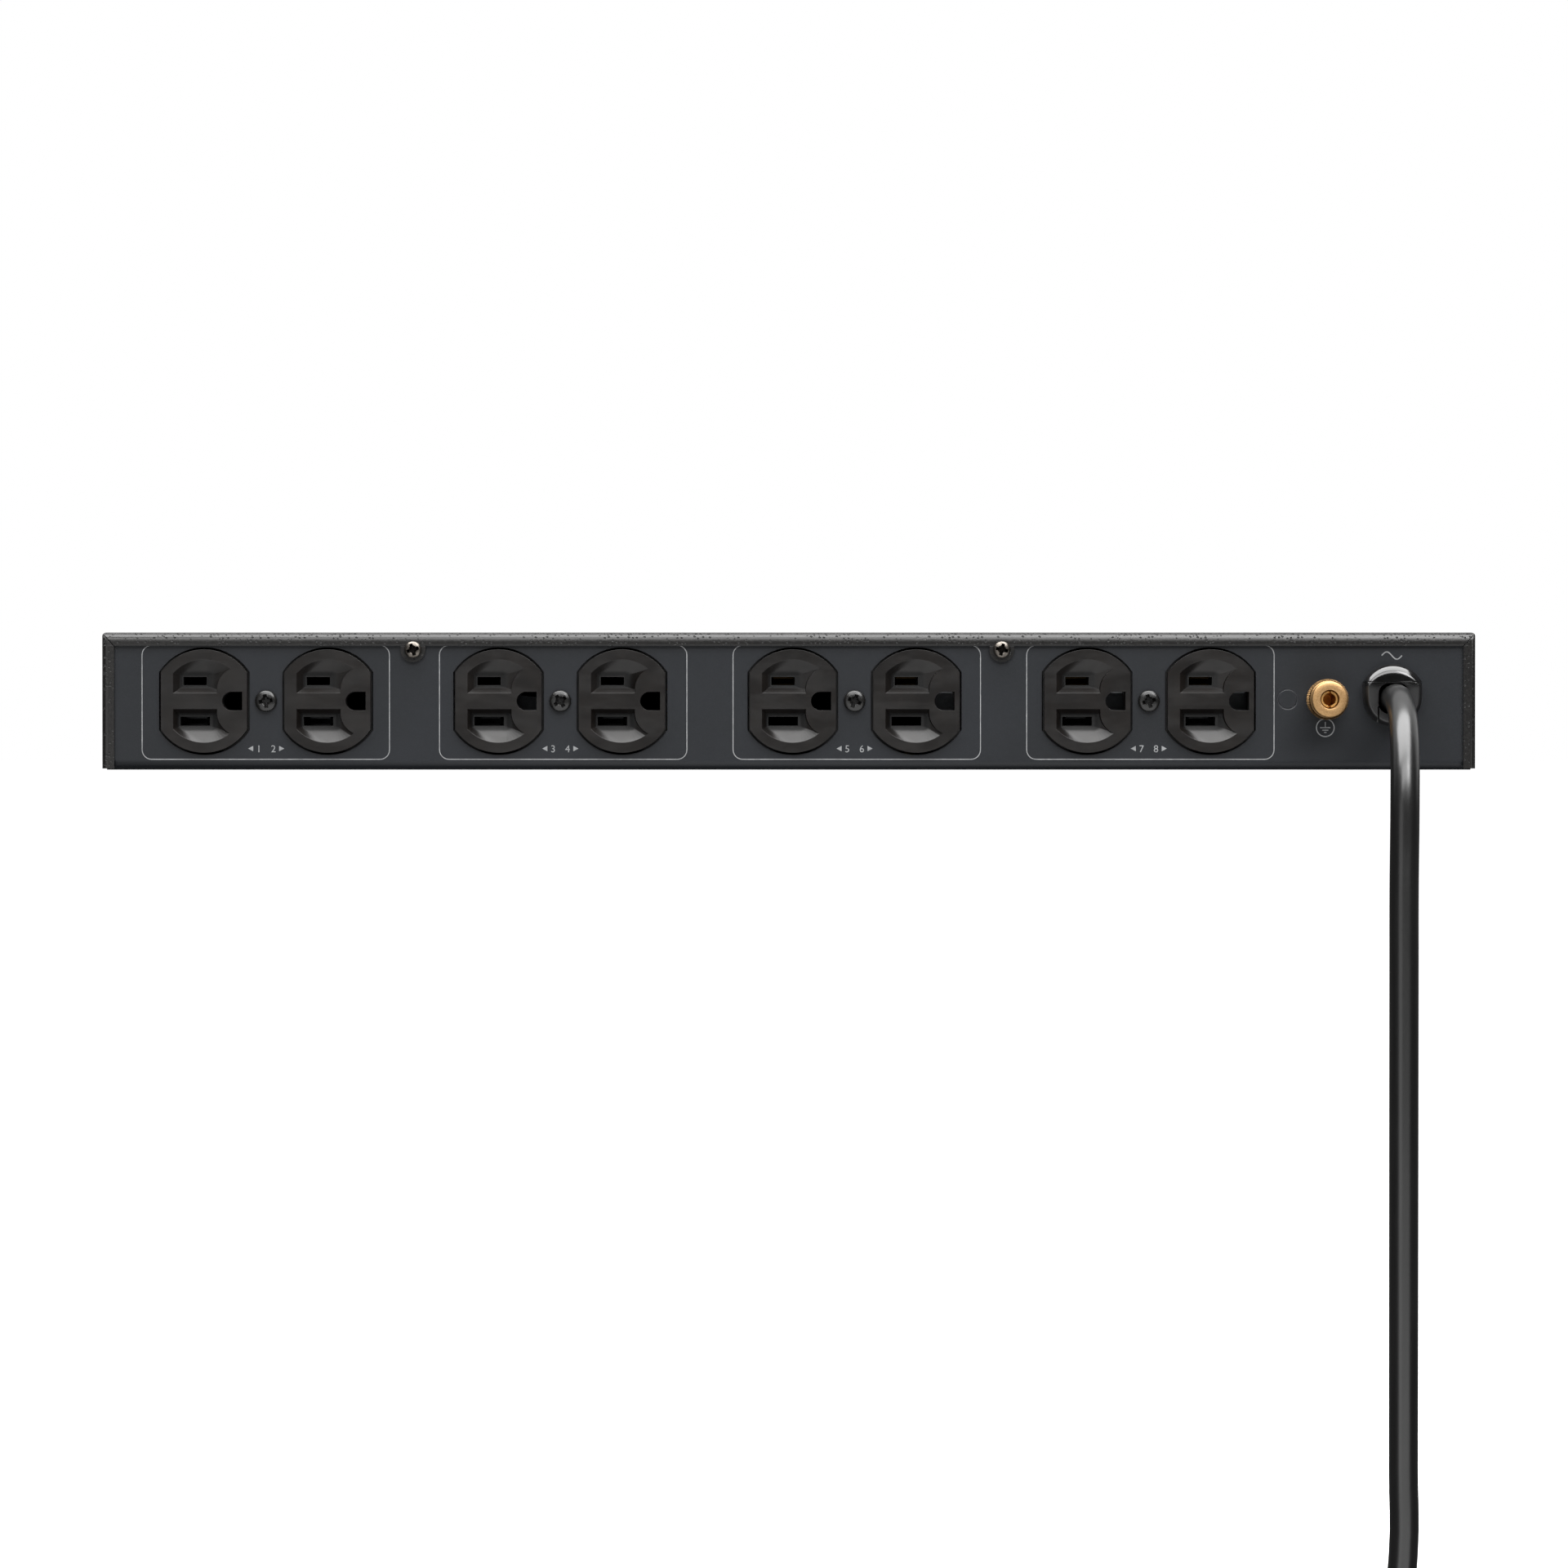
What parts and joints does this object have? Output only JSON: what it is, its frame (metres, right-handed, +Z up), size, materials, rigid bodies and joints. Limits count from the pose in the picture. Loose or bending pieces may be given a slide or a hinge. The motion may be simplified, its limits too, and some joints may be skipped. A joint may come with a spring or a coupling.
{
  "type": "rack power strip",
  "caption": "One-rack-unit mains distribution strip with grounded outlets along the rear, a ground post and a corded inlet gland.",
  "frame": {"origin": "centre of the rack-ear slot pattern, on the rear face of the front panel", "axes": "+X to the right when the rear panel is faced, +Y from the rear panel to the front panel, +Z up"},
  "size_m": [0.4826, 0.2817, 0.3368],
  "materials": {
    "cover_powder_coat": "fine textured black powder coat",
    "tray_slate_paint": "smooth satin slate-grey paint with pale printed lines",
    "panel_black_anodise": "black anodised, brushed along its length",
    "outlet_black_plastic": "moulded black thermoplastic, soft gloss",
    "inner_grey_plastic": "moulded grey-black thermoset",
    "glossy_black_nylon": "moulded black nylon, glossy",
    "cord_black_jacket": "black extruded PVC jacket, soft gloss",
    "plug_black_pvc": "moulded black PVC, satin",
    "tie_black_webbing": "black hook-and-loop strap",
    "post_gold_plate": "gold plated, fine turned finish",
    "contact_brass": "stamped brass",
    "contact_tin": "tin-plated stamped brass",
    "zinc_plate": "bright zinc plate",
    "nickel_plate": "bright nickel plate",
    "black_oxide_screw": "black zinc screw finish, satin",
    "switch_black_plastic": "moulded black nylon, fine texture",
    "breaker_button_plastic": "moulded off-white plastic",
    "lamp_lens": "tinted translucent lens",
    "board_laminate": "green solder resist over glass laminate",
    "capacitor_yellow": "yellow film-capacitor case",
    "ferrite": "epoxy-coated ferrite ring",
    "copper_enamel": "enamelled copper wire",
    "varistor_blue": "blue epoxy-coated disc",
    "wire_black": "black PVC insulation",
    "wire_white": "white PVC insulation",
    "wire_green": "green PVC insulation"
  },
  "bodies": {
    "root": {"base_tray": "tray_slate_paint", "top_cover": "cover_powder_coat", "front_panel": "panel_black_anodise", "front_panel_screws": "black_oxide_screw", "cover_rear_screws": "nickel_plate", "cover_side_screws": "black_oxide_screw", "outlet_screws": "black_oxide_screw", "ground_post_stud": "post_gold_plate", "ground_post_washer": "post_gold_plate", "ground_post_nut": "post_gold_plate", "earth_stud": "tray_slate_paint", "earth_nut": "zinc_plate", "ring_lugs": "contact_tin", "strain_relief_body": "glossy_black_nylon", "strain_relief_lock": "glossy_black_nylon", "cord_entry": "cord_black_jacket", "mains_cord": "cord_black_jacket", "cord_coil": "cord_black_jacket", "cord_tail": "cord_black_jacket", "cord_tie": "tie_black_webbing", "plug_body": "plug_black_pvc", "plug_pins": "contact_tin", "switch_case": "switch_black_plastic", "breaker_case": "switch_black_plastic", "breaker_nut": "nickel_plate", "power_lamp": "lamp_lens", "filter_board": "board_laminate", "filter_capacitors": "capacitor_yellow", "choke_core": "ferrite", "choke_windings": "copper_enamel", "varistors": "varistor_blue", "board_standoffs": "contact_brass", "board_screws": "zinc_plate", "live_wires": "wire_black", "neutral_wires": "wire_white", "earth_wires": "wire_green", "outlet_face_1": "outlet_black_plastic", "outlet_body_1": "inner_grey_plastic", "outlet_yoke_1": "zinc_plate", "outlet_hot_1": "contact_brass", "outlet_neutral_1": "contact_tin", "outlet_face_2": "outlet_black_plastic", "outlet_body_2": "inner_grey_plastic", "outlet_yoke_2": "zinc_plate", "outlet_hot_2": "contact_brass", "outlet_neutral_2": "contact_tin", "outlet_face_3": "outlet_black_plastic", "outlet_body_3": "inner_grey_plastic", "outlet_yoke_3": "zinc_plate", "outlet_hot_3": "contact_brass", "outlet_neutral_3": "contact_tin", "outlet_face_4": "outlet_black_plastic", "outlet_body_4": "inner_grey_plastic", "outlet_yoke_4": "zinc_plate", "outlet_hot_4": "contact_brass", "outlet_neutral_4": "contact_tin"},
    "rocker": {"power_rocker": "switch_black_plastic"},
    "button": {"breaker_button": "breaker_button_plastic"},
    "clamp_collar": {"ground_post_collar": "post_gold_plate"},
    "knob": {"ground_post_knob": "post_gold_plate"}
  },
  "joints": [
    {"name": "rocker_tilt", "type": "hinge", "parent": "root", "child": "rocker", "pos_m": [0.185, 0.0005, 0], "axis": [1, 0, 0], "range_deg": [0, 18]},
    {"name": "breaker_trip", "type": "slide", "parent": "root", "child": "button", "axis": [0, 1, 0], "range_m": [0, 0.0035]},
    {"name": "knob_turn", "type": "hinge", "parent": "clamp_collar", "child": "knob", "pos_m": [0.1696, -0.2239, 0.0005], "axis": [0, -1, 0], "range_deg": [0, 1800]},
    {"name": "collar_slide", "type": "slide", "parent": "root", "child": "clamp_collar", "axis": [0, -1, 0], "range_m": [0, 0.004]}
  ],
  "couplings": [
    {"joint": "collar_slide", "follows": "knob_turn", "m_per_rad": 0.00012732}
  ]
}
